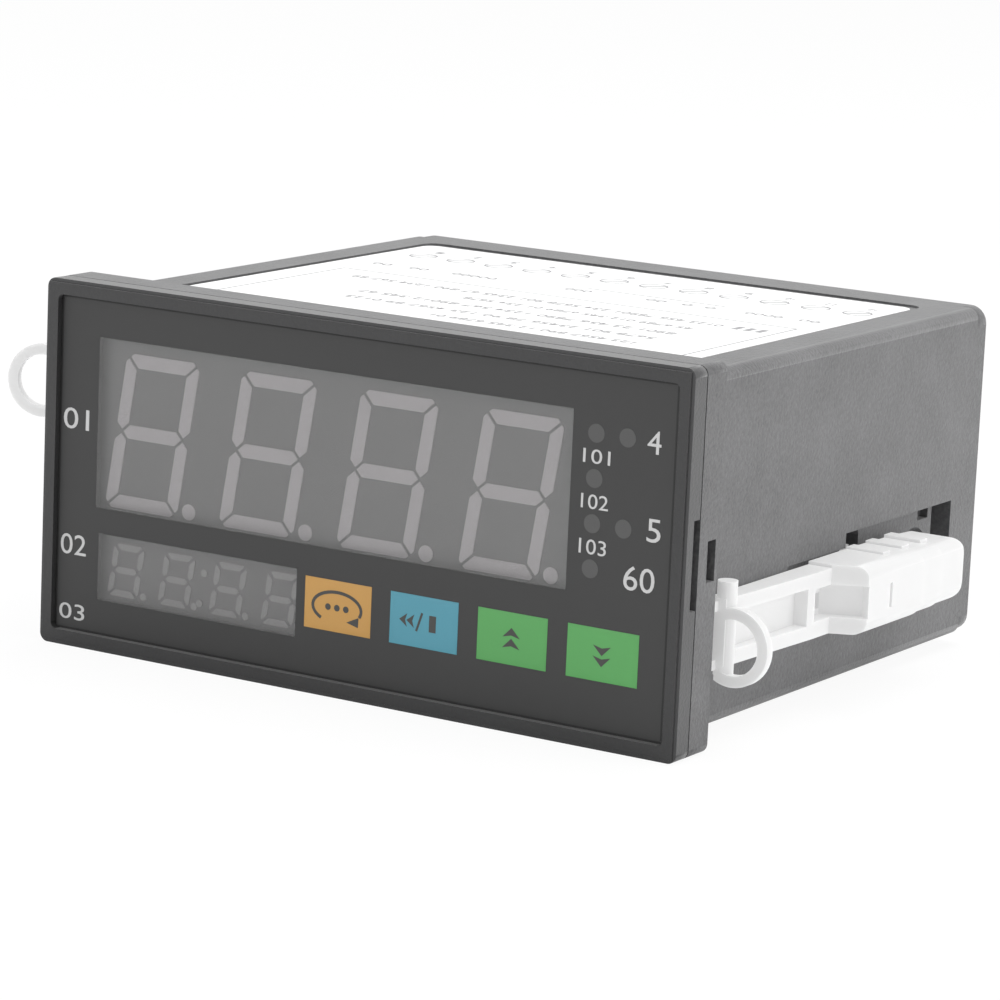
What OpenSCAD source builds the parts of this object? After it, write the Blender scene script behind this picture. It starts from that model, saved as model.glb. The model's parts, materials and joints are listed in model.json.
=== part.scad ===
// Panel weighing indicator, 96 x 48 front, millimetres.
// The origin is the middle of the face that seats on the panel.
// X runs to the right, Y to the back of the case, Z up.

/* [Front] */
// Width of the front frame
front_w = 96; // [92:0.5:104]
// Height of the front frame
front_h = 48; // [47:0.5:56]
// Reach of the flange beyond the case on the left and right
side_lip = 2.75; // [2:0.05:3.2]
// Reach of the flange above and below the case
top_lip = 1.75; // [1:0.05:2.2]
// Front face to the face that seats on the panel
front_depth = 7.8; // [6.5:0.1:12]
// Depth of the front frame, up to the seam with the case
bezel_depth = 3; // [2.6:0.1:3.6]
// Open seam between the front frame and the case
seam_gap = 0.2; // [0.1:0.05:0.4]
// Radius of the corners of the front frame
front_r = 1.2; // [0.6:0.1:2]
// Chamfer round the front edge
front_chamfer = 0.2; // [0.1:0.1:0.9]
// Width of the rim left and right of the film
rim_side = 1.85; // [1.3:0.05:2.4]
// Width of the rim above and below the film
rim_top = 2; // [1.4:0.05:2.4]
// Depth of the recess that the film lies in
film_recess = 0.8; // [0.5:0.05:1]
// Radius of the corners of that recess
recess_r = 0.8; // [0.4:0.1:1.5]
// Thickness of the printed film
film_t = 0.25; // [0.15:0.05:0.4]
// Thickness of the plate behind the film
web_t = 1.3; // [1:0.1:1.5]
// Wall of the skirt that enters the case
skirt_wall = 1.5; // [1:0.1:1.6]
// Length of the skirt behind the seam
skirt_len = 10.2; // [9.8:0.1:14]
// Height of the pry slot in the side of the front frame
pry_h = 11.1; // [6:0.1:14]
// Width of the pry slot, along the depth
pry_w = 1.35; // [0.8:0.05:1.7]
// Reach of the pry slot into the side
pry_in = 1.8; // [1:0.1:2.4]

/* [Case] */
// Radius of the long edges of the case body
body_r = 1.5; // [0.6:0.1:1.9]
// Length of the case body behind the panel seat
body_len = 73.3; // [73:0.1:90]
// Wall of the case
wall = 2; // [1.6:0.1:2.2]
// Height of the latch window in the flange
latch_h = 5.1; // [3:0.1:8]
// Width of the latch window, along the depth
latch_w = 1.95; // [1.2:0.05:2.6]
// Latch window to the panel seat
latch_to_seat = 0.6; // [0.4:0.1:1.2]
// Reach of the latch nose beyond the skirt
latch_proud = 1.1; // [0.5:0.1:1.3]
// Case side to the label
label_side = 6.65; // [6:0.05:15]
// Label to the rear end of the case
label_to_rear = 5.6; // [5:0.1:20]
// Label to the panel seat
label_to_seat = 4.7; // [3:0.1:6]
// Thickness of the label
label_t = 0.15; // [0.1:0.05:0.25]
// Radius of the corners of the label
label_r = 2; // [0.5:0.1:4]
// Depth of the recess for the label
label_recess = 0.3; // [0.25:0.05:0.6]
// Free edge of the recess beside and in front of the label
label_edge = 0.6; // [0.3:0.1:1]
// Free edge of the recess behind the label
label_rear_edge = 1.5; // [0.5:0.1:2]

/* [Clamp channel] */
// Middle of the case to the middle of a clamp channel
rail_z = 9.6; // [9:0.1:10]
// Depth of the shallow channel in the case side
channel_t = 0.9; // [0.5:0.05:1]
// Height of the wide channel
wide_h = 13; // [12.4:0.1:13.4]
// Panel seat to the front end of the wide channel
wide_from = 38.7; // [37:0.1:40]
// Rear end of the wide channel to the rear end of the case
wide_to_rear = 4.7; // [4.4:0.1:5]
// Height of the narrow channel in front of it
narrow_h = 9.2; // [8.9:0.1:10]
// Panel seat to the front end of the narrow channel
narrow_from = 23.2; // [18:0.1:30]
// Length of the entry pocket at the front end
entry_w = 5.1; // [3:0.1:5.4]
// Radius of the corners of the entry pocket
entry_r = 1; // [0.5:0.1:1.5]
// Length of the deepest part of the slot at the rear end
exit_w = 1.5; // [1:0.1:2]
// Length of the slope down into that slot
exit_slope = 2.4; // [1:0.1:3]
// Depth of these pockets from the case side
pocket_t = 4; // [3:0.1:4.6]
// Panel seat to the small step pocket
step_from = 60.6; // [60:0.1:61.5]
// Length of the small step pocket
step_w = 3; // [2:0.1:4]
// Height of the small step pocket
step_h = 1.7; // [1:0.1:2.2]
// Radius of the round opening that lets the clamp foot in
foot_hole_r = 4; // [3:0.1:4.2]
// Panel seat to the middle of that opening
foot_hole_y = 59.7; // [59:0.1:60.2]
// Height of the through slot that the clamp knuckles run in
slot_h = 4; // [3.8:0.1:4.4]
// Height of the space that the pivot shoe runs in
shoe_space_h = 8; // [7.6:0.1:8.6]
// Width of the space that the pivot shoe runs in
shoe_space_w = 2.8; // [2.7:0.05:3]
// Wall between that space and the boards
shoe_wall = 1; // [0.8:0.1:1.2]

/* [Clamps] */
// Swing of a clamp away from the case, in degrees
swing = 8.6; // [6:0.1:14]
// Gap between a closed clamp and the case side
clamp_gap = 0.3; // [0.2:0.05:0.5]
// Panel seat to the hinge axis of a clamp
hinge_y = 51.2; // [50:0.1:52]
// Case side to the hinge axis of a clamp
hinge_in = 3.35; // [3.2:0.05:3.45]
// Radius of the pin in the pivot shoe
pin_r = 0.8; // [0.6:0.05:0.9]
// Radius of the knuckles round the pin
knuckle_r = 1.45; // [1.3:0.05:1.5]
// Thickness of one knuckle
knuckle_t = 1.1; // [0.8:0.1:1.3]
// Half the length of the pivot shoe
shoe_half = 5; // [4:0.1:6]
// Thickness of the front end of the clamp arm
arm_t = 2.45; // [2:0.05:3]
// Growth of that thickness up to the block
arm_flare = 0.9; // [0:0.05:1.4]
// Height of the clamp arm
arm_h = 8.4; // [7:0.1:8.8]
// Panel seat to the front end of the arm
arm_from = 2.8; // [2.6:0.1:4]
// Thickness of the two edges of the arm
arm_edge = 1.8; // [1.2:0.1:2.2]
// Thickness of the floor of the arm
arm_floor = 1.35; // [0.9:0.05:1.8]
// Panel seat to the cross rib of the arm
rib_from = 22.4; // [18:0.1:24]
// Thickness of the cross rib
rib_w = 1.7; // [1:0.1:2.2]
// Rib to the window behind it
window_from = 0.4; // [0.2:0.1:1]
// Length of that window
window_len = 4.5; // [3.5:0.1:5]
// Height of that window
window_h = 2.1; // [1:0.1:3]
// Panel seat to the inner front corner of the grip block
block_from = 28.2; // [27:0.1:30]
// Slant of the front of the block, along the depth
block_slant = 2.4; // [0:0.1:4]
// Length of the scoop in front of the block
scoop_len = 2.4; // [1:0.1:4]
// Height of the scoop
scoop_h = 4.2; // [2:0.1:5]
// Wall between the scoop and the outer face of the block
scoop_wall = 1.3; // [0.8:0.1:3]
// Reach of the grip block from the case side
block_reach = 7.85; // [6:0.05:9]
// Height of the grip block above the middle of the arm
block_up = 4.6; // [4.3:0.1:5.2]
// Panel seat to the rear end of the first grip step
grip_end = 45.8; // [44:0.1:47]
// Length of the second grip step
grip_second = 5.7; // [5:0.1:6.5]
// Length of the third grip step
grip_third = 6.5; // [5:0.1:7]
// Drop from one grip step to the next
grip_drop = 0.2; // [0.1:0.05:0.4]
// Radius of the rear corners of the grip steps
grip_r = 2.6; // [1:0.1:3]
// Radius of the long outer edges of the block
block_edge_r = 1.6; // [0.5:0.1:2]
// Count of the ridges on top of the block
ridge_count = 3; // [0:1:4]
// Height of those ridges
ridge_t = 0.3; // [0.1:0.05:0.5]
// Width of a ridge
ridge_w = 2; // [1:0.1:2.4]
// Spacing of the ridges
ridge_pitch = 5.2; // [3:0.1:5.4]
// Panel seat to the rear end of the last ridge
ridge_to = 50.8; // [48:0.1:52]
// Panel seat to the small slot in the outer face
mark_from = 36.4; // [34:0.1:40]
// Width of the small slot in the outer face
mark_w = 0.7; // [0.4:0.1:1.2]
// Height of that slot
mark_h = 3.2; // [1:0.1:4]
// Radius of the post at the front end
post_r = 1.25; // [0.8:0.05:1.4]
// Reach of the post above the middle of the arm
post_up = 6.3; // [4.5:0.1:6.6]
// Reach of the post below the middle of the arm
post_down = 5.4; // [4.5:0.1:6]
// Gap between the clamp tips and the panel seat
tip_gap = 0.3; // [0.2:0.05:1]
// Thickness of a clamp tip
tip_t = 1.2; // [0.8:0.1:2]
// Width of a clamp tip
tip_w = 1.4; // [1:0.1:2]
// Height of the upper tip above the middle of the arm
tip_up = 3.2; // [2:0.1:4]
// Depth of the lower tip below the middle of the arm
tip_down = 4.1; // [3:0.1:4.6]
// Outer radius of the finger ring
ring_r = 4.9; // [4:0.1:5.5]
// Thickness of the band of the ring
ring_t = 1.4; // [1.2:0.05:2.2]
// Width of the band of the ring
ring_w = 1.3; // [1:0.1:2.4]
// Centre of the ring below the middle of the arm
ring_down = 1.65; // [0.5:0.05:2.5]
// Centre of the ring outside the middle of the post, right clamp
ring_out = 1.7; // [1:0.1:2.4]
// The same for the left clamp, whose ring is bent
bent_out = 3.2; // [2:0.1:3.4]
// Forward bend of the ring of the left clamp, in degrees
ring_bend = 24.6; // [0:0.1:30]

/* [Rear terminals] */
// Spacing of the terminals
term_pitch = 7.6; // [7.2:0.1:7.7]
// Inner face of the case to the contact blades of a row
blade_in = 6.45; // [6:0.05:6.6]
// Contact blades to the screws of a row
screw_drop = 5.8; // [5.6:0.1:6]
// Play between the terminal plug and the channel walls
plug_play = 0.35; // [0.3:0.05:0.6]
// Wall outside the last terminal of a row
plug_wall = 0.85; // [0.8:0.05:0.85]
// Length of the terminal plug
plug_len = 14.2; // [13:0.1:16]
// Thickness of the rear collar
collar_t = 2.6; // [2:0.1:4]
// Radius of the corners of the collar
collar_r = 2.4; // [1:0.1:4]
// Depth of the terminal wells from the rear face
well_deep = 8.2; // [7.8:0.1:9]
// Width of a terminal well
well_w = 6.4; // [6:0.1:6.6]
// Height of a terminal well
well_h = 10.3; // [10:0.1:10.8]
// Radius of the terminal screw shank
screw_r = 1.45; // [1:0.05:1.6]
// Length of the terminal screw shank
screw_len = 6.5; // [4:0.1:8]
// Radius of the terminal screw head
screw_head_r = 2.8; // [2.2:0.1:3]
// Thickness of the terminal screw head
screw_head_t = 2.4; // [1.6:0.1:2.4]
// Thickness of the contact plate
contact_t = 0.9; // [0.5:0.1:1]
// Thickness of one contact leaf
leaf_t = 0.4; // [0.3:0.05:0.5]
// Length of the contact leaves
leaf_len = 10; // [8:0.1:11]
// Thickness of the square clamp plate
washer_t = 0.8; // [0.5:0.1:1]
// Edge of the square clamp plate
washer_w = 5.8; // [5:0.1:6]
// Radius of the rear cover screw shank
cover_screw_r = 1.2; // [0.8:0.05:1.4]
// Length of the rear cover screw shank
cover_screw_len = 9; // [6:0.1:10]
// Radius of the rear cover screw head
cover_head_r = 2.2; // [1.8:0.1:2.4]
// Thickness of the rear cover screw head
cover_head_t = 1.4; // [1:0.1:1.6]
// Edge of the corner posts for those screws
corner_post = 4; // [3.8:0.1:4]

/* [Displays] */
// Left edge of the front to the large window
main_win_left = 8.1; // [7.8:0.1:14]
// Large window to the right edge of the front
main_win_right = 16.8; // [16.6:0.1:24]
// Top edge of the front to the large window
main_win_top = 6.95; // [6.5:0.05:9]
// Space between the two windows
win_between = 3.36; // [3:0.02:6]
// Left edge of the front to the small window
small_win_left = 8.7; // [8:0.1:12]
// Small window to the bottom edge of the front
small_win_bottom = 6.7; // [6:0.1:9]
// Width of the small window in the film
small_win_w = 31.2; // [28:0.1:31.4]
// Height of the small window in the film
small_win_h = 8.75; // [7:0.05:8.9]
// Overlap of a lens behind the film
lens_lap = 0.5; // [0.3:0.05:0.5]
// Thickness of a lens behind the film
lens_t = 1; // [0.6:0.1:1.1]
// Gap between a lens and the display behind it
lens_gap = 0.2; // [0.1:0.05:0.3]
// Slant of the digits, in degrees
slant = 8.5; // [0:0.5:12]
// Large window to the digits, at the top
digit_top_gap = 1.85; // [0.5:0.05:4]
// Large window to the digits, on the left
digit_left_gap = 1.85; // [1:0.05:4]
// Last digit to the large window, on the right
digit_right_gap = 3.45; // [3:0.05:6]
// Width of a large digit
main_digit_w = 11.5; // [9:0.1:12]
// Thickness of a large segment
main_seg_t = 1.8; // [1.2:0.1:2.2]
// Gap between large segments
main_seg_gap = 0.28; // [0.2:0.02:0.5]
// Small window to the digits, at the top
small_top_gap = 1.25; // [0.5:0.05:2.5]
// Small window to the digits, at the bottom
small_bottom_gap = 0.5; // [0.2:0.05:2]
// Small window to the digits, at either side
small_side_gap = 1; // [0.6:0.1:3]
// Width of a small digit
small_digit_w = 4.9; // [4:0.1:5.4]
// Thickness of a small segment
small_seg_t = 0.85; // [0.5:0.05:1]
// Gap between small segments
small_seg_gap = 0.3; // [0.15:0.05:0.4]
// Thickness of the segments on the display face
seg_raise = 0.15; // [0.1:0.05:0.15]
// Depth of the displays from face to board
display_depth = 7.8; // [7:0.1:9]
// Outer column of lamps to the right edge of the front
lamp_in = 9.15; // [9:0.05:10]
// Spacing of the two columns of lamps
lamp_pitch_x = 4.35; // [4:0.05:4.6]
// Top of the large window to the top lamp
lamp_top_in = 2.59; // [2:0.01:4]
// Bottom lamp to the bottom of the large window
lamp_bottom_in = 3.09; // [2:0.01:4]
// Radius of an indicator lamp
led_r = 1.45; // [1:0.05:1.5]

/* [Keys] */
// Space between two keys
key_space = 2.85; // [2:0.05:4]
// Small window to the first key
key_left_gap = 1.35; // [1.2:0.05:2]
// Last key to the right edge of the front
key_in = 6.2; // [6:0.1:8]
// Keys to the bottom edge of the front
key_bottom = 8.28; // [8:0.01:8.5]
// Height of a key
key_h = 6.55; // [5:0.05:6.6]
// Travel of a key
key_travel = 0.3; // [0.2:0.05:0.35]
// Edge of a key switch
switch_w = 6; // [5:0.1:6.2]
// Thickness of a key switch
switch_t = 3.5; // [3:0.1:3.8]
// Radius of the plunger of a key switch
plunger_r = 1.75; // [1.2:0.05:2]

/* [Boards] */
// Thickness of the boards
board_t = 1.6; // [1:0.1:1.6]
// Play between the long boards and the channel walls
board_side = 0.45; // [0.3:0.05:2]
// Long boards to the terminal plug
board_gap = 2.7; // [2:0.1:4]
// Least gap between the parts on a board
part_gap = 1; // [0.5:0.1:1.1]
// Width of a contact blade
blade_w = 3; // [2:0.1:3.4]
// Thickness of a contact blade
blade_t = 0.6; // [0.4:0.05:0.6]
// Length of a contact blade
blade_len = 11; // [9:0.1:11]
// Overhang of a contact blade behind its board
blade_over = 7.5; // [5:0.1:7.8]
// Length of a board connector
header_len = 40; // [20:0.5:60]
// Edge of a board connector
header_t = 2.5; // [2:0.1:3]

/* [Parts on the boards] */
// Width of the transformer core
core_w = 30; // [24:0.5:30]
// Length of the transformer core
core_len = 14; // [10:0.5:16]
// Free height above the transformer core
core_over = 6.8; // [5:0.1:10]
// Height of the two outer legs of the core
core_yoke = 2; // [1.5:0.1:3]
// Width of the transformer winding
coil_w = 20; // [16:0.5:24]
// Length of the transformer winding
coil_len = 26; // [20:0.5:26]
// Width of an alarm relay
relay_w = 15.4; // [12:0.1:15.4]
// Length of an alarm relay
relay_len = 10.4; // [8:0.1:10.4]
// Free height above the relays
relay_over = 8.8; // [6:0.1:12]
// Count of the alarm relays
relay_count = 3; // [1:1:3]
// Radius of the main filter capacitor
cap_r = 5; // [4:0.1:5.5]
// Free height above the main filter capacitor
cap_over = 7.8; // [5:0.1:12]
// Radius of the two small capacitors
small_cap_r = 3.15; // [2.5:0.05:3.5]
// Height of the two small capacitors
small_cap_h = 11; // [8:0.1:14]
// Radius of the fuse
fuse_r = 2.6; // [2:0.1:3]
// Length of the fuse
fuse_len = 20; // [16:0.1:22]
// Radius of the surge disc
disc_r = 4.6; // [3:0.1:5]
// Thickness of the surge disc
disc_t = 3.6; // [2:0.1:4]
// Width, length and height of the bridge rectifier
bridge_size = [8.6, 6.4, 6];
// Width and length of the regulator
regulator_size = [10.2, 4.6];
// Free height above the regulator
regulator_over = 8.6; // [6:0.1:12]
// Space between the parts along the front of the signal board
signal_gap = 5; // [1:0.5:8]
// Width, length and height of the control chip
chip_size = [12, 12, 1.6];
// Width, length and height of the converter chip
adc_size = [7.6, 12.8, 2.4];
// Width, length and height of the display driver chip
driver_size = [7.6, 15.4, 2.4];
// Width, length and height of the crystal
crystal_size = [11.2, 4.6, 3.5];
// Width, length and height of a coupler
coupler_size = [4.6, 6.4, 3.4];
// Count of the couplers
coupler_count = 4; // [1:1:4]
// Spacing of the couplers
coupler_pitch = 7.6; // [6:0.1:8]
// Width, length and height of the trimmer
trimmer_size = [9.6, 4.8, 4.9];

/* [Clearances] */
// Side clearance between the skirt and the case
skirt_fit = 0.25; // [0.15:0.05:0.4]
// Clearance of a key in the film
key_fit = 0.02; // [0.01:0.01:0.1]
// Clearance of a key in the plate behind the film
key_room = 0.15; // [0.1:0.05:0.2]
// Clearance of the lenses and the film in their seats
lens_fit = 0.1; // [0.05:0.05:0.2]
// Radial clearance of pins and plungers
pin_fit = 0.08; // [0.05:0.01:0.1]
// Clearance of the shoe and the knuckles in the channel
slide_fit = 0.2; // [0.1:0.05:0.3]
// Clearance of a blade between its contact leaves
blade_fit = 0.1; // [0.05:0.05:0.2]
// Clearance of the terminal plug and its screws
plug_fit = 0.25; // [0.1:0.05:0.3]
// Clearance of the terminal pieces in their wells
well_fit = 0.2; // [0.1:0.05:0.3]

/* [Hidden] */

$fn = 48;
// Overrun of the cutting shapes
cut = 0.5;

// Sizes that follow from the front
body_w = front_w - 2 * side_lip;
body_h = front_h - 2 * top_lip;
main_win_w = front_w - main_win_left - main_win_right;
main_win_h = front_h - main_win_top - win_between - small_win_h - small_win_bottom;
main_win_at = [(main_win_left - main_win_right) / 2, front_h / 2 - main_win_top - main_win_h / 2];
small_win_at = [-front_w / 2 + small_win_left + small_win_w / 2,
                -front_h / 2 + small_win_bottom + small_win_h / 2];
label_w = body_w - 2 * label_side;
label_len = body_len - label_to_seat - label_to_rear;

// Digits, lamps and keys in their windows
main_digit_h = main_win_h - digit_top_gap;
main_pitch = (main_win_w - main_digit_w - digit_left_gap - digit_right_gap) / 3;
main_digits_at = [main_win_at[0] + (digit_left_gap - digit_right_gap) / 2,
                  main_win_at[1] - digit_top_gap / 2];
small_digit_h = small_win_h - small_top_gap - small_bottom_gap;
small_pitch = (small_win_w - small_digit_w - 2 * small_side_gap) / 3;
small_digits_at = [small_win_at[0], small_win_at[1] + (small_bottom_gap - small_top_gap) / 2];
led_columns = [front_w / 2 - lamp_in - lamp_pitch_x, front_w / 2 - lamp_in];
led_top = main_win_at[1] + main_win_h / 2 - lamp_top_in;
led_pitch = (main_win_h - lamp_top_in - lamp_bottom_in) / 3;
keys_from = small_win_at[0] + small_win_w / 2 + key_left_gap;
key_w = (front_w / 2 - key_in - keys_from - 3 * key_space) / 4;
key_xs = [for (i = [0 : 3]) keys_from + key_w / 2 + i * (key_w + key_space)];
key_z = -front_h / 2 + key_bottom + key_h / 2;

// Places along the depth
front_y = -front_depth;
seam_y = front_y + bezel_depth;
flange_y = seam_y + seam_gap;
film_y = front_y + film_recess;
web_y = film_y + film_t;
web_rear_y = web_y + web_t;
lens_rear_y = web_y + lens_t;
segment_y = lens_rear_y + lens_gap;
display_y = segment_y + seg_raise;
board_y = display_y + display_depth;
board_rear_y = board_y + board_t;
rear_y = body_len + collar_t;
plug_y = body_len - plug_len;
board_to = plug_y - board_gap;
wide_to = body_len - wide_to_rear;
well_y = rear_y - well_deep;

// Inner sizes of the case and outer sizes of the skirt
cavity_w = body_w - 2 * wall;
cavity_h = body_h - 2 * wall;
skirt_w = cavity_w - 2 * skirt_fit;
skirt_h = cavity_h - 2 * skirt_fit;
skirt_r = body_r / 2;
inner_w = skirt_w - 2 * skirt_wall;
inner_h = skirt_h - 2 * skirt_wall;
side_x = body_w / 2;

// Clamp channel
hinge_x = side_x - hinge_in;
shoe_space_x = hinge_x - knuckle_r - slide_fit;
rail_x = shoe_space_x - shoe_wall;
rail_wall = 1.3;
plug_w = 2 * (rail_x - plug_play);
board_w = 2 * (rail_x - board_side);
term_count = floor((plug_w - 2 * plug_wall) / term_pitch);
blade_z = cavity_h / 2 - blade_in;
term_screw_z = blade_z - screw_drop;
rail_from = wide_from - rail_wall;
rail_to = wide_to + rail_wall;
rail_h = wide_h + 2 * rail_wall;
clamp_x = side_x + clamp_gap;
post_x = clamp_x + post_r + clamp_gap * 2;
post_y = arm_from + post_r;

grip_ends = [grip_end, grip_end + grip_second, grip_end + grip_second + grip_third];

// The two display housings meet between the windows
split_z = small_win_at[1] + (small_win_h + win_between) / 2;

// Ledges and hooks that hold the display board in the skirt
ledge_w = 6;
ledge_in = 0.8;
ledge_t = 1.5;
ledge_x = 20;
hook_t = 0.8;
board_play = 0.05;

// Flat prisms along the depth and across the width
module prism_y(d) {
    rotate([90, 0, 0]) translate([0, 0, -d]) linear_extrude(d) children();
}

module prism_x(d) {
    rotate([90, 0, 90]) linear_extrude(d) children();
}

// Rectangle with round corners, about its middle
module round_rect(w, h, r) {
    square([w - 2 * r, h], center = true);
    square([w, h - 2 * r], center = true);
    for (sx = [-1, 1], sy = [-1, 1])
        translate([sx * (w / 2 - r), sy * (h / 2 - r)]) circle(r);
}

// Box given by its middle in X and Z and its two ends along Y
module block_y(w, h, y0, y1) {
    translate([-w / 2, y0, -h / 2]) cube([w, y1 - y0, h]);
}

// Box that stands on z = 0, given by its middle in X and Y
module stand(size) {
    translate([-size[0] / 2, -size[1] / 2, 0]) cube(size);
}

// Puts a right-hand shape at its channel on either side of the case
module on_side(s) {
    translate([0, 0, -s * rail_z]) mirror([s < 0 ? 1 : 0, 0, 0]) children();
}

// Repeats for each terminal of a row
module at_terminals() {
    for (i = [0 : term_count - 1])
        translate([(i - (term_count - 1) / 2) * term_pitch, 0, 0]) children();
}

// Upper row as written, lower row mirrored
module on_row(s) {
    mirror([0, 0, s < 0 ? 1 : 0]) children();
}

module corner_places() {
    for (sx = [-1, 1], sz = [-1, 1])
        translate([sx * (cavity_w - corner_post) / 2, 0, sz * (cavity_h - corner_post) / 2])
            children();
}

module chamfer_bar(len, c) {
    rotate([0, 90, 0])
        linear_extrude(len, center = true)
            polygon([[-c, -cut], [cut, -cut], [cut, c], [0, c], [-c, 0]]);
}

// Case

// The channel of the right side, with z = 0 in its middle
module channel_cuts() {
    floor_x = side_x - channel_t;
    deep_x = side_x - pocket_t;
    exit_y = wide_to - exit_w;
    translate([floor_x, wide_from, -wide_h / 2])
        cube([channel_t + cut, wide_to - wide_from, wide_h]);
    translate([floor_x, narrow_from, -narrow_h / 2])
        cube([channel_t + cut, wide_from - narrow_from + cut, narrow_h]);
    translate([deep_x, wide_from + entry_w / 2, 0])
        prism_x(pocket_t + cut) round_rect(entry_w, wide_h, entry_r);
    translate([0, 0, -wide_h / 2])
        linear_extrude(wide_h)
            polygon([[deep_x, exit_y], [deep_x, wide_to], [side_x, wide_to],
                     [floor_x, exit_y - exit_slope]]);
    for (s = [-1, 1])
        translate([side_x - wall, step_from, s * (wide_h - step_h) / 2 - step_h / 2])
            cube([wall + cut, step_w, step_h]);
    translate([deep_x, foot_hole_y, 0]) rotate([0, 90, 0]) cylinder(h = pocket_t, r = foot_hole_r);
    translate([shoe_space_x, wide_from, -shoe_space_h / 2])
        cube([shoe_space_w, wide_to - wide_from, shoe_space_h]);
    translate([shoe_space_x, wide_from, -slot_h / 2])
        cube([side_x - shoe_space_x + cut, wide_to - wide_from, slot_h]);
}

module case_shell() {
    color("#3c3c3e")
    difference() {
        union() {
            difference() {
                union() {
                    translate([0, flange_y, 0])
                        prism_y(-flange_y) round_rect(front_w, front_h, front_r);
                    translate([0, flange_y, 0])
                        prism_y(body_len - flange_y) round_rect(body_w, body_h, body_r);
                }
                translate([0, flange_y - cut, 0])
                    prism_y(body_len - flange_y + 2 * cut)
                        round_rect(cavity_w, cavity_h, skirt_r);
            }
            for (s = [-1, 1])
                on_side(s)
                    translate([rail_x, rail_from, -rail_h / 2])
                        cube([side_x - wall / 2 - rail_x, rail_to - rail_from, rail_h]);
            intersection() {
                corner_places()
                    block_y(corner_post, corner_post, body_len - cover_screw_len - wall, body_len);
                block_y(body_w - wall, body_h - wall, 0, body_len);
            }
        }
        for (s = [-1, 1]) on_side(s) channel_cuts();
        block_y(front_w + cut, latch_h, -latch_to_seat - latch_w, -latch_to_seat);
        block_y(skirt_w + 2 * (latch_proud + skirt_fit), latch_h, flange_y - cut, -latch_to_seat);
        translate([0, label_to_seat + (label_len + label_rear_edge - label_edge) / 2,
                   body_h / 2 - label_recess])
            linear_extrude(label_recess + cut)
                round_rect(label_w + 2 * label_edge,
                           label_len + label_edge + label_rear_edge, label_r);
        corner_places()
            translate([0, body_len + cut, 0])
                rotate([90, 0, 0])
                    cylinder(h = cover_screw_len + cut, r = cover_screw_r + well_fit / 2);
    }
}

module rating_label() {
    color("white")
    translate([0, label_to_seat + label_len / 2, body_h / 2 - label_recess])
        linear_extrude(label_t) round_rect(label_w, label_len, label_r);
}

// Rear terminals

module terminal_block() {
    color("#2e2e30")
    difference() {
        union() {
            block_y(plug_w, cavity_h - 2 * plug_fit, plug_y, body_len + cut);
            translate([0, body_len, 0]) prism_y(collar_t) round_rect(body_w, body_h, collar_r);
        }
        for (s = [-1, 1]) on_row(s) at_terminals() {
            translate([0, 0, term_screw_z + well_h / 2 - screw_head_r - well_fit * 4])
                block_y(well_w, well_h, well_y, rear_y + cut);
            translate([0, 0, blade_z])
                block_y(blade_w + 2 * blade_fit + 4 * well_fit,
                        blade_t + 2 * (blade_fit + leaf_t + well_fit),
                        plug_y - cut, well_y + cut);
            translate([0, well_y + cut, term_screw_z])
                rotate([90, 0, 0]) cylinder(h = screw_len + cut, r = screw_r + plug_fit);
        }
        corner_places() {
            translate([0, rear_y + cut, 0])
                rotate([90, 0, 0]) cylinder(h = collar_t + 2 * cut, r = cover_screw_r + plug_fit);
            translate([0, rear_y + cut, 0])
                rotate([90, 0, 0]) cylinder(h = cover_head_t + cut, r = cover_head_r + plug_fit);
        }
    }
}

// Pan-head screw along -Y, its head seat at y = 0, with a straight driver slot
module slot_screw(shank_r, shank_len, head_r, head_t) {
    slot_share = 0.3;
    difference() {
        union() {
            rotate([90, 0, 0]) cylinder(h = shank_len, r = shank_r);
            rotate([-90, 0, 0]) cylinder(h = head_t, r = head_r);
        }
        translate([0, 0, 0])
            block_y(2 * head_r + cut, head_r * slot_share, head_t / 2, head_t + cut);
    }
}

module rear_cover_screws() {
    color("silver")
    corner_places()
        translate([0, rear_y - cover_head_t, 0])
            slot_screw(cover_screw_r, cover_screw_len, cover_head_r, cover_head_t);
}

contact_low = term_screw_z - screw_head_r - well_fit;
contact_high = blade_z + blade_t / 2 + blade_fit + leaf_t;

module terminal_contacts(s) {
    color("#c8a850")
    on_row(s) at_terminals() {
        difference() {
            translate([-(blade_w + 4 * well_fit) / 2, well_y, contact_low])
                cube([blade_w + 4 * well_fit, contact_t, contact_high - contact_low]);
            translate([0, well_y - cut, term_screw_z])
                rotate([-90, 0, 0]) cylinder(h = contact_t + 2 * cut, r = screw_r + pin_fit);
        }
        for (t = [-1, 1])
            translate([0, 0, blade_z + t * (blade_t / 2 + blade_fit + leaf_t / 2)])
                block_y(blade_w, leaf_t, well_y - leaf_len, well_y + contact_t / 2);
    }
}

module terminal_plates(s) {
    color("silver")
    on_row(s) at_terminals()
        translate([0, 0, term_screw_z])
            difference() {
                block_y(washer_w, washer_w, washer_y, washer_y + washer_t);
                translate([0, washer_y - cut, 0])
                    rotate([-90, 0, 0]) cylinder(h = washer_t + 2 * cut, r = screw_r + pin_fit);
            }
}
washer_y = well_y + contact_t + well_fit;

module terminal_screws(s) {
    color("silver")
    on_row(s) at_terminals()
        translate([0, washer_y + washer_t, term_screw_z])
            slot_screw(screw_r, screw_len, screw_head_r, screw_head_t);
}

// Front frame with film and lenses

module window_hole(size, at, grow, y0, y1) {
    translate([at[0], 0, at[1]]) block_y(size[0] + 2 * grow, size[1] + 2 * grow, y0, y1);
}

module at_keys() {
    for (x = key_xs) translate([x, 0, key_z]) children();
}

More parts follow.
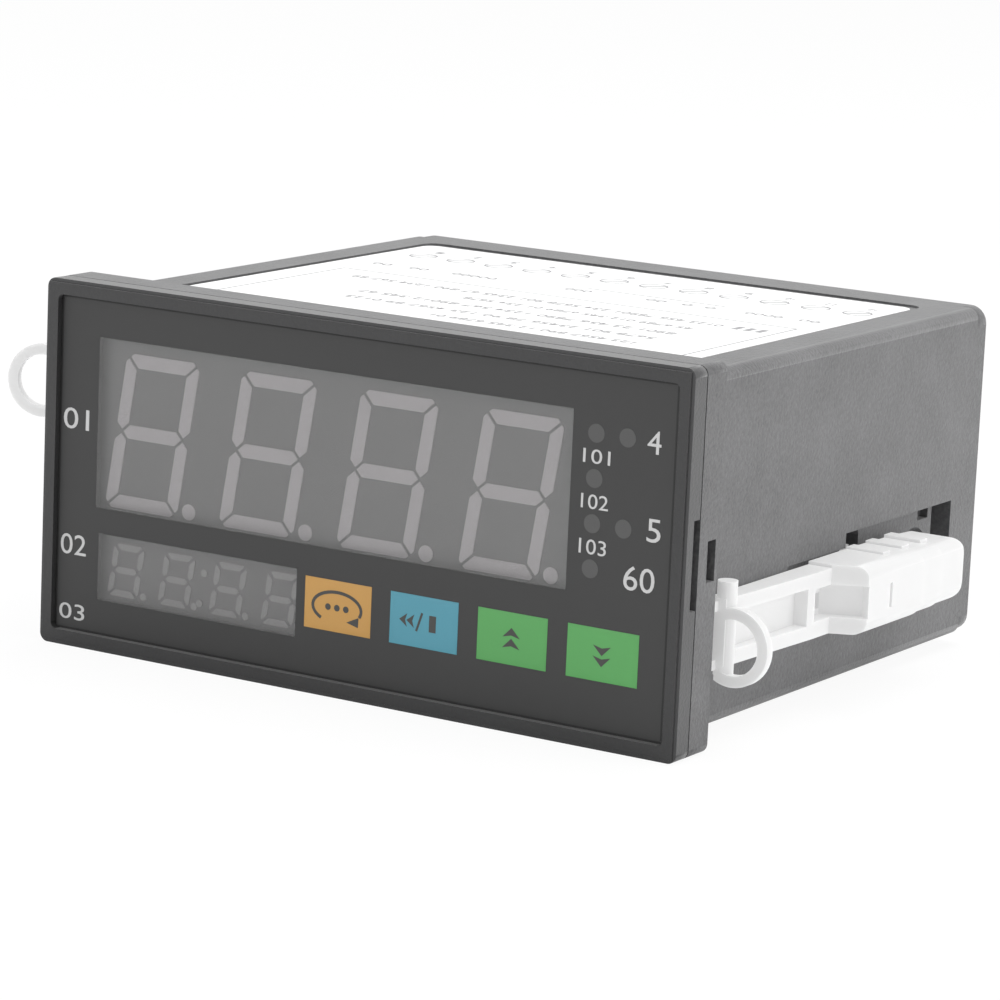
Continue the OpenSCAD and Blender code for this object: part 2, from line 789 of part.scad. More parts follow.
// Lamp places: four in the first column, two in the second
lamp_rows = [[0, 1, 2, 3], [0, 2]];
module at_lamps() {
    for (c = [0, 1], r = lamp_rows[c])
        translate([led_columns[c], 0, led_top - r * led_pitch]) children();
}

module lens_holes(grow, y0, y1) {
    window_hole([main_win_w, main_win_h], main_win_at, grow, y0, y1);
    window_hole([small_win_w, small_win_h], small_win_at, grow, y0, y1);
}

module front_bezel() {
    latch_y = -latch_to_seat - latch_w;
    color("#3a3a3c")
    difference() {
        union() {
            translate([0, front_y, 0])
                prism_y(bezel_depth) round_rect(front_w, front_h, front_r);
            translate([0, seam_y, 0])
                prism_y(skirt_len) round_rect(skirt_w, skirt_h, skirt_r);
            block_y(skirt_w + 2 * latch_proud, latch_h - 2 * slide_fit,
                    latch_y + slide_fit, -latch_to_seat - slide_fit);
        }
        translate([0, front_y - cut, 0])
            prism_y(film_recess + cut + film_t)
                round_rect(front_w - 2 * rim_side, front_h - 2 * rim_top, recess_r);
        difference() {
            block_y(inner_w, inner_h, web_rear_y, seam_y + skirt_len + cut);
            for (sx = [-1, 1], s = [-1, 1])
                translate([sx * ledge_x, 0, s * (inner_h - ledge_in) / 2]) {
                    block_y(ledge_w, ledge_in + cut / 2, board_y - ledge_t, board_y - board_play);
                    block_y(ledge_w, ledge_in + cut / 2, board_rear_y + board_play,
                            board_rear_y + board_play + hook_t);
                }
        }
        lens_holes(lens_lap + lens_fit, web_y - cut, web_rear_y + cut);
        at_keys() block_y(key_w + 2 * key_room, key_h + 2 * key_room, web_y - cut, web_rear_y + cut);
        at_lamps()
            translate([0, web_y - cut, 0])
                rotate([-90, 0, 0]) cylinder(h = web_t + 2 * cut, r = led_r + lens_fit);
        for (s = [-1, 1])
            translate([s * (front_w - pry_in) / 2, 0, 0])
                block_y(pry_in + cut / 2, pry_h, seam_y - pry_w, seam_y + cut);
        for (s = [-1, 1]) {
            translate([0, front_y, s * front_h / 2])
                rotate([s > 0 ? 0 : -90, 0, 0]) chamfer_bar(front_w + cut, front_chamfer);
            translate([s * front_w / 2, front_y, 0])
                rotate([0, s * 90, 0]) chamfer_bar(front_h + cut, front_chamfer);
        }
    }
}

module overlay_film() {
    color("#4a4a4a")
    difference() {
        translate([0, film_y, 0])
            prism_y(film_t)
                round_rect(front_w - 2 * (rim_side + lens_fit), front_h - 2 * (rim_top + lens_fit),
                           recess_r);
        lens_holes(key_fit, film_y - cut, web_y + cut);
        at_keys() block_y(key_w + 2 * key_fit, key_h + 2 * key_fit, film_y - cut, web_y + cut);
    }
}

module lens(size, at) {
    window_hole(size, at, 0, film_y, web_y);
    window_hole(size, at, lens_lap, web_y, lens_rear_y);
}

module main_lens() {
    color("#787878") lens([main_win_w, main_win_h], main_win_at);
}

module small_lens() {
    color("#707070") lens([small_win_w, small_win_h], small_win_at);
}

// Seven-segment digits

// A point moved sideways by the slant
function lean(p) = [p[0] + p[1] * tan(slant), p[1]];

// Bar along the top of a digit, its outer corners cut by c
function top_bar(w, h, t, g, c) = [
    [-w / 2 + 2 * c + g, h / 2], [w / 2 - 2 * c - g, h / 2], [w / 2 - c - g, h / 2 - c],
    [w / 2 - t - g, h / 2 - t], [-w / 2 + t + g, h / 2 - t], [-w / 2 + c + g, h / 2 - c]];

// Bar across the middle of a digit
function mid_bar(w, t, g) = [
    [-w / 2 + t / 2 + g, 0], [-w / 2 + t + g, t / 2], [w / 2 - t - g, t / 2],
    [w / 2 - t / 2 - g, 0], [w / 2 - t - g, -t / 2], [-w / 2 + t + g, -t / 2]];

// Upright bar at the upper left of a digit
function side_bar(w, h, t, g, c) = [
    [-w / 2, h / 2 - 2 * c - g], [-w / 2 + c, h / 2 - c - g], [-w / 2 + t, h / 2 - t - g],
    [-w / 2 + t, t / 2 + g], [-w / 2 + t / 2, g], [-w / 2, t / 2 + g]];

function flip(points, fx, fz) = [for (p = points) lean([p[0] * fx, p[1] * fz])];

corner_share = 0.22;
dot_share = 0.58;
dot_out_share = 0.97;

module digit(w, h, t, g) {
    c = t * corner_share;
    for (f = [-1, 1]) polygon(flip(top_bar(w, h, t, g, c), 1, f));
    polygon(flip(mid_bar(w, t, g), 1, 1));
    for (fx = [-1, 1], fz = [-1, 1]) polygon(flip(side_bar(w, h, t, g, c), fx, fz));
    translate(lean([w / 2 + t * dot_out_share, -h / 2 + t * dot_share])) circle(t * dot_share);
}

module digits(at, pitch, w, h, t, g, y) {
    for (i = [0 : 3])
        translate([at[0] + (i - 3 / 2) * pitch, y, at[1]]) prism_y(seg_raise) digit(w, h, t, g);
}

module main_display_segments() {
    color("#c0b8b8")
    digits(main_digits_at, main_pitch, main_digit_w, main_digit_h, main_seg_t, main_seg_gap,
           segment_y);
}

module small_display_segments() {
    color("#a8a4a4") {
        digits(small_digits_at, small_pitch, small_digit_w, small_digit_h, small_seg_t,
               small_seg_gap, segment_y);
        for (s = [-1, 1])
            translate([small_digits_at[0], segment_y, small_digits_at[1]])
                prism_y(seg_raise)
                    translate(lean([0, s * small_digit_h * dot_share / 2 - small_seg_t / 2]))
                        circle(small_seg_t * dot_share);
    }
}

// A display housing between two sides and two heights
module housing(x0, x1, z0, z1) {
    color("#6e6e6e")
    translate([(x0 + x1) / 2, 0, (z0 + z1) / 2]) block_y(x1 - x0, z1 - z0, display_y, board_y);
}

module main_display_housing() {
    housing(-inner_w / 2 + lens_gap, led_columns[0] - led_r - holder_edge - lens_gap,
            split_z + lens_gap / 2, inner_h / 2 - ledge_in - lens_gap);
}

module small_display_housing() {
    housing(-inner_w / 2 + lens_gap, keys_from - key_room - lens_gap,
            -inner_h / 2 + ledge_in + lens_gap, split_z - lens_gap / 2);
}

// Lamps and their holder

lead_r = 0.25;
lead_gap = 1.27;
holder_t = 3.9;
holder_edge = 0.5;
holder_y = board_y - holder_t;

module lamp_leads(r) {
    for (s = [-1, 1])
        translate([0, board_y, s * lead_gap])
            rotate([90, 0, 0]) cylinder(h = holder_t + cut / 5, r = r);
}

module indicator_lamps() {
    color("#8a8a88")
    at_lamps() {
        lamp_leads(lead_r);
        translate([0, holder_y, 0])
            rotate([90, 0, 0]) cylinder(h = holder_y - web_y - led_r - lens_gap, r = led_r);
        translate([0, web_y + led_r + lens_gap, 0]) sphere(led_r);
    }
}

module lamp_holder() {
    low = led_top - 3 * led_pitch - led_r - holder_edge;
    color("#202020")
    difference() {
        translate([led_columns[0] - led_r - holder_edge, holder_y, low])
            cube([led_columns[1] - led_columns[0] + 2 * (led_r + holder_edge), holder_t,
                  led_top + led_r + holder_edge - low]);
        at_lamps() lamp_leads(lead_r + pin_fit);
    }
}

// Boards

module display_board() {
    color("#2e6b3a")
    block_y(inner_w - 2 * lens_gap, inner_h - 2 * lens_gap, board_y, board_rear_y);
}

module key_switch_bodies() {
    color("#303030")
    at_keys()
        difference() {
            block_y(switch_w, switch_w, board_y - switch_t, board_y);
            translate([0, board_y - switch_t - cut, 0])
                rotate([-90, 0, 0]) cylinder(h = plunger_in + key_travel + cut + lens_gap,
                                             r = plunger_r + pin_fit);
        }
}
plunger_in = 2;

board_from = board_rear_y + board_play;
board_z = blade_z - blade_t / 2 - board_t;

module long_board(s) {
    color("#2e6b3a")
    on_row(s)
        translate([-board_w / 2, board_from, board_z]) cube([board_w, board_to - board_from, board_t]);
}

// Connector strip under the front edge of a long board, with its row of pins
module board_connector(s) {
    pin_w = 0.64;
    pin_pitch = 2.54;
    n = floor(header_len / pin_pitch);
    color("#202020")
    on_row(s) {
        translate([0, 0, board_z - header_t / 2])
            block_y(header_len, header_t, board_rear_y, board_rear_y + header_t);
        for (i = [0 : n - 1])
            translate([(i - (n - 1) / 2) * pin_pitch, 0, board_z - header_t / 2])
                block_y(pin_w, pin_w, board_rear_y + header_t - cut, board_rear_y + 2 * header_t);
    }
}

module contact_blades(s) {
    color("#d8b860")
    on_row(s) at_terminals()
        translate([0, 0, blade_z])
            block_y(blade_w, blade_t, board_to + blade_over - blade_len, board_to + blade_over);
}

// Places of the parts on the power board: the transformer on the left, the relays in a
// column on the right, and the small parts between them from the front to the back
board_space = 2 * board_z;
parts_from = board_rear_y + 2 * header_t + part_gap;
core_h = board_space - core_over;
coil_h = core_h - 2 * core_yoke;
core_at = [-board_w / 2 + part_gap + core_w / 2, parts_from + coil_len / 2];
relay_at = [board_w / 2 - part_gap - relay_w / 2, board_to - part_gap - relay_len / 2];
cap_at = [core_at[0] + core_w / 2 + part_gap + cap_r, parts_from + cap_r];
small_cap_at = [cap_at[0] + cap_r + part_gap + small_cap_r, parts_from + small_cap_r];
bridge_at = [cap_at[0], cap_at[1] + cap_r + part_gap + bridge_size[1] / 2];
disc_at = [cap_at[0], bridge_at[1] + bridge_size[1] / 2 + part_gap + disc_t / 2];
regulator_at = [small_cap_at[0] + small_cap_r + part_gap / 2,
                small_cap_at[1] + small_cap_r + part_gap + regulator_size[1] / 2];
fuse_at = [regulator_at[0] + regulator_size[0] / 2 + part_gap / 2 + fuse_r,
           parts_from + 2 * small_cap_r + part_gap + fuse_len / 2];

// Stands its children on the inner face of the power board, under the board pair
module on_power(place) {
    translate([place[0], place[1], -board_z]) children();
}

// Stands its children on the upper face of the signal board
module on_signal(place) {
    translate([place[0], place[1], board_z + board_t]) children();
}

module transformer_core() {
    color("#888880")
    on_power(core_at)
        difference() {
            stand([core_w, core_len, core_h]);
            translate([0, 0, core_yoke - plug_fit])
                stand([coil_w + 2 * plug_fit, core_len + 2 * cut, coil_h + 2 * plug_fit]);
        }
}

module transformer_winding() {
    color("#c8a020")
    on_power(core_at) {
        translate([0, 0, core_yoke]) stand([coil_w, coil_len, coil_h]);
        for (s = [-1, 1])
            translate([0, s * (coil_len - coil_len / 8) / 2, 0])
                stand([coil_w, coil_len / 8, core_yoke + cut]);
    }
}

module alarm_relays() {
    color("#e0e0d8")
    on_power(relay_at)
        for (i = [0 : relay_count - 1])
            translate([0, -i * (relay_len + part_gap), 0])
                stand([relay_w, relay_len, board_space - relay_over]);
}

module main_capacitor() {
    color("#30305a") on_power(cap_at) cylinder(h = board_space - cap_over, r = cap_r);
}

module small_capacitors() {
    color("#30305a")
    on_power(small_cap_at)
        for (i = [0, 1])
            translate([i * (2 * small_cap_r + part_gap), 0, 0])
                cylinder(h = small_cap_h, r = small_cap_r);
}

module mains_fuse() {
    color("#d0d0d0")
    on_power(fuse_at)
        translate([0, 0, fuse_r]) rotate([90, 0, 0]) cylinder(h = fuse_len, r = fuse_r, center = true);
}

module surge_disc() {
    color("#3050a0")
    on_power(disc_at)
        translate([0, 0, disc_r]) rotate([90, 0, 0]) cylinder(h = disc_t, r = disc_r, center = true);
}

module bridge_rectifier() {
    color("#202020") on_power(bridge_at) stand(bridge_size);
}

// The regulator stands on its three legs' shoulder with its metal tab at the back
module voltage_regulator() {
    tab_t = 1.3;
    hole_share = 0.12;
    height = board_space - regulator_over;
    color("#282828")
    on_power(regulator_at)
        difference() {
            union() {
                stand([regulator_size[0], regulator_size[1], height * 2 / 3]);
                translate([0, (regulator_size[1] - tab_t) / 2, 0])
                    stand([regulator_size[0], tab_t, height]);
            }
            translate([0, regulator_size[1], height * 5 / 6])
                rotate([90, 0, 0])
                    cylinder(h = 2 * regulator_size[1], r = height * hole_share);
        }
}

// Places of the parts on the signal board: a row along its front, and the couplers at its back
signal_from = board_from + part_gap;
crystal_at = [-board_w / 2 + part_gap + crystal_size[0] / 2, signal_from + crystal_size[1] / 2];
control_at = [crystal_at[0] + (crystal_size[0] + chip_size[0]) / 2 + signal_gap,
              signal_from + chip_size[1] / 2];
driver_at = [control_at[0] + (chip_size[0] + driver_size[0]) / 2 + signal_gap,
             signal_from + driver_size[1] / 2];
adc_at = [driver_at[0] + (driver_size[0] + adc_size[0]) / 2 + signal_gap,
          signal_from + adc_size[1] / 2];
trimmer_at = [adc_at[0] + (adc_size[0] + trimmer_size[0]) / 2 + signal_gap,
              signal_from + trimmer_size[1] / 2];
coupler_at = [control_at[0],
              board_to - (blade_len - blade_over) - part_gap - coupler_size[1] / 2];

module control_chip() {
    color("#202020") on_signal(control_at) stand(chip_size);
}

module converter_chip() {
    color("#202020") on_signal(adc_at) stand(adc_size);
}

module display_driver() {
    color("#202020") on_signal(driver_at) stand(driver_size);
}

module timing_crystal() {
    r = crystal_size[1] / 2;
    color("#c0c0c0")
    on_signal(crystal_at)
        linear_extrude(crystal_size[2]) {
            square([crystal_size[0] - 2 * r, crystal_size[1]], center = true);
            for (s = [-1, 1]) translate([s * (crystal_size[0] / 2 - r), 0]) circle(r);
        }
}

module signal_couplers() {
    color("#f0f0ea")
    on_signal(coupler_at)
        for (i = [0 : coupler_count - 1])
            translate([(i - (coupler_count - 1) / 2) * coupler_pitch, 0, 0]) stand(coupler_size);
}

module calibration_trimmer() {
    knob_share = 0.3;
    color("#3060c0")
    on_signal(trimmer_at) {
        stand(trimmer_size);
        translate([trimmer_size[0] / 4, 0, 0])
            cylinder(h = trimmer_size[2] + cut, r = trimmer_size[1] * knob_share);
    }
}

// Keys

key_body_y = 4.2;
key_body_side = 0.7;

module key(x, c) {
    color(c)
    translate([x, 0, key_z]) {
        block_y(key_w, key_h, film_y, web_y);
        block_y(key_w - 2 * key_body_side, key_h - key_body_side, web_y - film_t / 2, -key_body_y);
    }
}

module plunger(x) {
    color("#303030")
    translate([x, -key_body_y, key_z])
        rotate([-90, 0, 0])
            cylinder(h = board_y - switch_t + plunger_in + key_body_y - pin_fit, r = plunger_r);
}

// Clamps, written for the right side with z = 0 in the middle of the arm

// The arm seen from above
module clamp_plan() {
    arm_x = clamp_x + arm_t;
    polygon([[clamp_x, arm_from], [arm_x, arm_from], [arm_x + arm_flare, rib_from + rib_w],
             [arm_x + arm_flare, block_from + cut], [clamp_x, block_from + cut]]);
}

module clamp_arm() {
    floor_x = clamp_x + arm_floor;
    recess_h = arm_h - 2 * arm_edge;
    reach = arm_t + arm_flare + cut;
    difference() {
        translate([0, 0, -arm_h / 2]) linear_extrude(arm_h) clamp_plan();
        translate([floor_x, post_y + post_r, -recess_h / 2])
            cube([reach, rib_from - post_y - post_r, recess_h]);
    }
}

// The slanted scoop behind the rib, with its window, and the slanted front of the block
module clamp_scoop() {
    floor_x = clamp_x + arm_floor;
    corner_x = clamp_x + arm_t + arm_flare;
    outer_x = side_x + block_reach;
    window_y = rib_from + rib_w + window_from;
    scoop_y = window_y + window_len;
    translate([0, 0, -scoop_h / 2])
        linear_extrude(scoop_h)
            polygon([[floor_x, rib_from + rib_w], [floor_x, scoop_y],
                     [outer_x - scoop_wall, scoop_y + scoop_len],
                     [outer_x, block_from + block_slant], [outer_x + cut, rib_from + rib_w]]);
    translate([clamp_x - cut, window_y, -window_h * 2 / 3])
        cube([arm_floor + 2 * cut, window_len, window_h]);
    translate([0, 0, -arm_h])
        linear_extrude(2 * arm_h)
            polygon([[corner_x, block_from], [outer_x + cut, block_from + block_slant],
                     [outer_x + cut, block_from - cut], [corner_x, block_from - cut]]);
}

// One step of the grip block, seen from the side, with round corners at its rear end
module grip_outline(y1, drop) {
    r = grip_r;
    low = -arm_h / 2 + drop / 2;
    high = block_up - drop / 2;
    translate([block_from, low]) square([y1 - r - block_from, high - low]);
    translate([y1 - r - cut, low + r]) square([r + cut, high - low - 2 * r]);
    for (z = [low + r, high - r]) translate([y1 - r, z]) circle(r);
}

// One step of the grip block with its outer edges rounded
module grip_step(y1, drop) {
    width = block_reach - clamp_gap - drop;
    low = -arm_h / 2 + drop / 2;
    height = arm_h / 2 + block_up - drop;
    intersection() {
        translate([clamp_x, 0, 0]) prism_x(width) grip_outline(y1, drop);
        translate([clamp_x, block_from, low + height / 2])
            prism_y(y1 - block_from) round_rect(2 * width, height, block_edge_r);
    }
}

module clamp_block() {
    difference() {
        union() {
            for (i = [0 : 2]) grip_step(grip_ends[i], i * grip_drop);
            for (i = [0 : ridge_count - 1])
                translate([clamp_x, ridge_to - ridge_w - i * ridge_pitch, block_up - cut])
                    cube([block_reach * 2 / 3, ridge_w, ridge_t + cut]);
        }
        translate([side_x + block_reach - mark_h / 2, mark_from, -mark_h / 2])
            cube([mark_h, mark_w, mark_h]);
        translate([0, 0, -arm_h])
            linear_extrude(2 * arm_h)
                polygon([[clamp_x, hinge_y + knuckle_r], [clamp_x + arm_flare, grip_ends[2] + cut],
                         [clamp_x - cut, grip_ends[2] + cut], [clamp_x - cut, hinge_y + knuckle_r]]);
    }
}

module clamp_knuckles() {
    for (s = [-1, 1])
        translate([0, 0, s * (slot_h / 2 - slide_fit / 2 - knuckle_t / 2) - knuckle_t / 2])
            difference() {
                union() {
                    translate([hinge_x, hinge_y, 0]) cylinder(h = knuckle_t, r = knuckle_r);
                    translate([hinge_x, hinge_y - knuckle_r, 0])
                        cube([clamp_x + cut - hinge_x, 2 * knuckle_r, knuckle_t]);
                }
                translate([hinge_x, hinge_y, -cut])
                    cylinder(h = knuckle_t + 2 * cut, r = pin_r + pin_fit);
            }
}

// Finger ring on the post, its centre out by "out" and turned forward by "bend"
module clamp_ring(out, bend) {
    translate([post_x, post_y, -ring_down])
        rotate([0, 0, -bend])
            translate([out, -post_r, 0])
                prism_y(ring_w)
                    difference() {
                        circle(ring_r);
                        circle(ring_r - ring_t);
                        translate([-3 * ring_r - out - post_r / 2, -ring_r - cut])
                            square([3 * ring_r, 2 * (ring_r + cut)]);
                    }
}

// Pointed tip that presses on the panel
module clamp_tip(z) {
    point = tip_t / 4;
    translate([clamp_x, 0, z])
        prism_x(tip_w)
            polygon([[post_y, tip_t / 2], [tip_gap + tip_t, tip_t / 2], [tip_gap, point],
                     [tip_gap, -point], [tip_gap + tip_t, -tip_t / 2], [post_y, -tip_t / 2]]);
}

module clamp_closed(out, bend) {
    difference() {
        union() {
            clamp_arm();
            clamp_block();
        }
        clamp_scoop();
    }
    clamp_knuckles();
    translate([post_x, post_y, -post_down]) cylinder(h = post_down + post_up, r = post_r);
    clamp_ring(out, bend);
    for (z = [tip_up, -tip_down]) clamp_tip(z);
}

module clamp_right() {
    color("#f2f2f0") on_side(1) clamp_closed(ring_out, 0);
}

module clamp_left() {
    color("#f2f2f0")
    on_side(-1)
        translate([hinge_x, hinge_y, 0])
            rotate([0, 0, swing])
                translate([-hinge_x, -hinge_y, 0]) clamp_closed(bent_out, ring_bend);
}

module pivot_shoe(s) {
    half_h = shoe_space_h / 2 - slide_fit;
    x0 = shoe_space_x + slide_fit;
    x1 = shoe_space_x + shoe_space_w - slide_fit;
    room = knuckle_r + slide_fit * 4;
    color("#e6e6e2")
    on_side(s) {
        difference() {
            translate([x0, hinge_y - shoe_half, -half_h])
                cube([x1 - x0, 2 * shoe_half, 2 * half_h]);
            translate([x0 - cut, hinge_y - room, -slot_h / 2])
                cube([x1 - x0 + 2 * cut, 2 * room, slot_h]);
        }
        translate([hinge_x, hinge_y, -slot_h / 2 - slide_fit])
            cylinder(h = slot_h + 2 * slide_fit, r = pin_r);
    }
}

case_shell();
rating_label();
terminal_block();
rear_cover_screws();
terminal_contacts(1);  // terminal_contacts_upper
terminal_contacts(-1);  // terminal_contacts_lower
terminal_screws(1);  // terminal_screws_upper
terminal_screws(-1);  // terminal_screws_lower
terminal_plates(1);  // terminal_plates_upper
terminal_plates(-1);  // terminal_plates_lower
front_bezel();
overlay_film();
main_lens();
small_lens();
main_display_housing();
main_display_segments();
small_display_housing();
small_display_segments();
indicator_lamps();
lamp_holder();
display_board();
key_switch_bodies();
long_board(-1);  // power_board
long_board(1);  // signal_board
board_connector(-1);  // power_connector
board_connector(1);  // signal_connector
contact_blades(-1);  // power_blades
contact_blades(1);  // signal_blades
transformer_core();
transformer_winding();
alarm_relays();
main_capacitor();
small_capacitors();
mains_fuse();
surge_disc();
bridge_rectifier();
voltage_regulator();
control_chip();
converter_chip();
display_driver();
timing_crystal();
signal_couplers();
calibration_trimmer();
key(key_xs[0], "#c89650");  // key_set
key(key_xs[1], "#50a0c0");  // key_shift
key(key_xs[2], "#5aaa60");  // key_up
key(key_xs[3], "#5aaa60");  // key_down
plunger(key_xs[0]);  // plunger_set
plunger(key_xs[1]);  // plunger_shift
plunger(key_xs[2]);  // plunger_up
plunger(key_xs[3]);  // plunger_down
clamp_right();
clamp_left();
pivot_shoe(1);  // pivot_shoe_right
pivot_shoe(-1);  // pivot_shoe_left
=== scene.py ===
"""Looks of a panel weighing indicator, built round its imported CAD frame.

Metres, in the frame of the CAD: the origin is the middle of the face that seats on the
panel, X runs right seen from the front, Y to the back of the case, Z up.
"""

import json
import math

import bmesh
import bpy
from mathutils import Matrix, Vector


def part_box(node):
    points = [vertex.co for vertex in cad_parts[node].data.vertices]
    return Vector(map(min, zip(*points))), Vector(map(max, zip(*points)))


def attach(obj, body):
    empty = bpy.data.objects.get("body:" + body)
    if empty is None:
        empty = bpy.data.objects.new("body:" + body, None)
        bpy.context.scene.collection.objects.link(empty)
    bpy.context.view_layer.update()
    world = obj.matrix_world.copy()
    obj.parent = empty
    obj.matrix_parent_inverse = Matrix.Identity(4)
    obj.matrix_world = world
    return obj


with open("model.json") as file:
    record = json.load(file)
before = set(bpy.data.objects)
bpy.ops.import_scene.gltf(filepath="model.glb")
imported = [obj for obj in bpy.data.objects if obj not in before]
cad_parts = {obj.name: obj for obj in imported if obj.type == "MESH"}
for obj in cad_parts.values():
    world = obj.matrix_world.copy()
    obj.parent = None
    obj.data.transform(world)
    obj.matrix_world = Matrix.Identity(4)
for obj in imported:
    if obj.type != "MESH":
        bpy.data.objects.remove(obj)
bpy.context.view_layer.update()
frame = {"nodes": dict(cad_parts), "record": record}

MM = 0.001


# Camera, floor and light

# The camera is fitted to the corners of the front and the case in the photograph.
CAMERA_PLACE = (0.29337, -0.44613, 0.10654)
CAMERA_TURN = math.radians(31.7735)
CAMERA_FALL = math.radians(11.1792)
CAMERA_ROLL = math.radians(2.5359)
CAMERA_LENS = 156.2
SENSOR_WIDTH = 36

# The camera sees most of the floor's colour as plain white. The rest keeps the shadow.
FLOOR_WHITE_SHARE = 0.93
FLOOR_REACH = 6
WHITE_LEVEL = 1.0
ROOM_LIGHT = 0.55


def place_camera():
    """The camera of the photograph: its place, its direction and its slight roll."""
    ahead = Vector((-math.sin(CAMERA_TURN) * math.cos(CAMERA_FALL),
                    math.cos(CAMERA_TURN) * math.cos(CAMERA_FALL),
                    -math.sin(CAMERA_FALL)))
    level = ahead.cross(Vector((0, 0, 1))).normalized()
    above = level.cross(ahead)
    right = level * math.cos(CAMERA_ROLL) + above * math.sin(CAMERA_ROLL)
    up = above * math.cos(CAMERA_ROLL) - level * math.sin(CAMERA_ROLL)
    camera = bpy.data.cameras.new("camera")
    camera.sensor_width = SENSOR_WIDTH
    camera.lens = CAMERA_LENS
    camera.clip_start = 0.01
    camera.clip_end = 10
    holder = bpy.data.objects.new("camera", camera)
    bpy.context.collection.objects.link(holder)
    turned = Matrix((right, up, -ahead)).transposed().to_4x4()
    holder.matrix_world = Matrix.Translation(CAMERA_PLACE) @ turned
    bpy.context.scene.camera = holder


def soft_box(name, place, aim, width, height, power):
    """A rectangular lamp that looks at a point."""
    lamp = bpy.data.lights.new(name, "AREA")
    lamp.shape = "RECTANGLE"
    lamp.size = width
    lamp.size_y = height
    lamp.energy = power
    holder = bpy.data.objects.new(name, lamp)
    bpy.context.collection.objects.link(holder)
    holder.location = place
    holder.rotation_euler = (Vector(aim) - Vector(place)).to_track_quat("-Z", "Y").to_euler()


class Value:
    """A number in a shader. An expression on it adds its Math nodes."""

    def __init__(self, finish, socket):
        self.finish = finish
        self.socket = socket

    def math(self, operation, *values):
        return self.finish.node("ShaderNodeMath", {"operation": operation},
                                dict(enumerate(values)))

    def __add__(self, other):
        return self.math("ADD", self, other)

    def __sub__(self, other):
        return self.math("SUBTRACT", self, other)

    def __rsub__(self, other):
        return self.math("SUBTRACT", other, self)

    def __mul__(self, other):
        return self.math("MULTIPLY", self, other)

    def __gt__(self, other):
        return self.math("GREATER_THAN", self, other)

    __radd__ = __add__

    def size(self):
        return self.math("ABSOLUTE", self)


class Finish:
    """A procedural material on one Principled shader."""

    def __init__(self, name, **constants):
        self.material = bpy.data.materials.new(name)
        self.material.use_nodes = True
        self.tree = self.material.node_tree
        self.shader = self.tree.nodes["Principled BSDF"]
        for words, number in constants.items():
            self.shader.inputs[words.replace("_", " ")].default_value = number
        self.place = self.node("ShaderNodeTexCoord", output="Object")

    def node(self, kind, settings=None, values=None, output=0):
        """Adds a node. Its values are numbers or come from other nodes."""
        made = self.tree.nodes.new(kind)
        for setting, value in (settings or {}).items():
            setattr(made, setting, value)
        for socket, value in (values or {}).items():
            if isinstance(value, Value):
                self.tree.links.new(value.socket, made.inputs[socket])
            else:
                made.inputs[socket].default_value = value
        return Value(self, made.outputs[output])

    def ramp(self, factor, low, high):
        """Rises smoothly from 0 at low to 1 at high."""
        return self.node("ShaderNodeMapRange", {"interpolation_type": "SMOOTHSTEP"},
                         {"Value": factor, "From Min": low, "From Max": high})

    def noise(self, size, detail=2.0, stretch=(1, 1, 1)):
        place = self.node("ShaderNodeVectorMath", {"operation": "MULTIPLY"},
                          {0: self.place, 1: stretch})
        return self.node("ShaderNodeTexNoise", None,
                         {"Vector": place, "Scale": 1 / size, "Detail": detail})

    def axis(self, letter):
        return self.node("ShaderNodeSeparateXYZ", None, {0: self.place}, letter)

    def tint(self, color, value):
        return self.node("ShaderNodeVectorMath", {"operation": "SCALE"},
                         {0: color, "Scale": value})

    def set(self, socket, value):
        self.tree.links.new(value.socket, self.shader.inputs[socket])

    def bump(self, height, strength, distance):
        self.set("Normal", self.node("ShaderNodeBump", None,
                                     {"Height": height, "Strength": strength, "Distance": distance}))


def rgb(*levels):
    """A colour from its three screen levels of 0 to 255."""
    return tuple((c / 255 / 12.92) if c < 11 else ((c / 255 + 0.055) / 1.055) ** 2.4
                 for c in levels)


def place_floor():
    """A white floor that keeps the shadow."""
    mesh = bpy.data.meshes.new("floor")
    made = bmesh.new()
    bmesh.ops.create_grid(made, x_segments=1, y_segments=1, size=FLOOR_REACH)
    bmesh.ops.translate(made, vec=(0, 0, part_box("case_shell")[0].z), verts=made.verts)
    made.to_mesh(mesh)
    made.free()
    floor = bpy.data.objects.new("floor", mesh)
    bpy.context.collection.objects.link(floor)
    finish = Finish("floor_white", Base_Color=(0.9, 0.9, 0.9, 1), Roughness=0.9,
                    Specular_IOR_Level=0.1)
    tree = finish.tree
    path = tree.nodes.new("ShaderNodeLightPath")
    glow = tree.nodes.new("ShaderNodeEmission")
    glow.inputs["Strength"].default_value = WHITE_LEVEL
    whitened = tree.nodes.new("ShaderNodeMixShader")
    whitened.inputs[0].default_value = FLOOR_WHITE_SHARE
    shown = tree.nodes.new("ShaderNodeMixShader")
    tree.links.new(finish.shader.outputs[0], whitened.inputs[1])
    tree.links.new(glow.outputs[0], whitened.inputs[2])
    tree.links.new(path.outputs["Is Camera Ray"], shown.inputs[0])
    tree.links.new(finish.shader.outputs[0], shown.inputs[1])
    tree.links.new(whitened.outputs[0], shown.inputs[2])
    tree.links.new(shown.outputs[0], tree.nodes["Material Output"].inputs[0])
    floor.data.materials.append(finish.material)


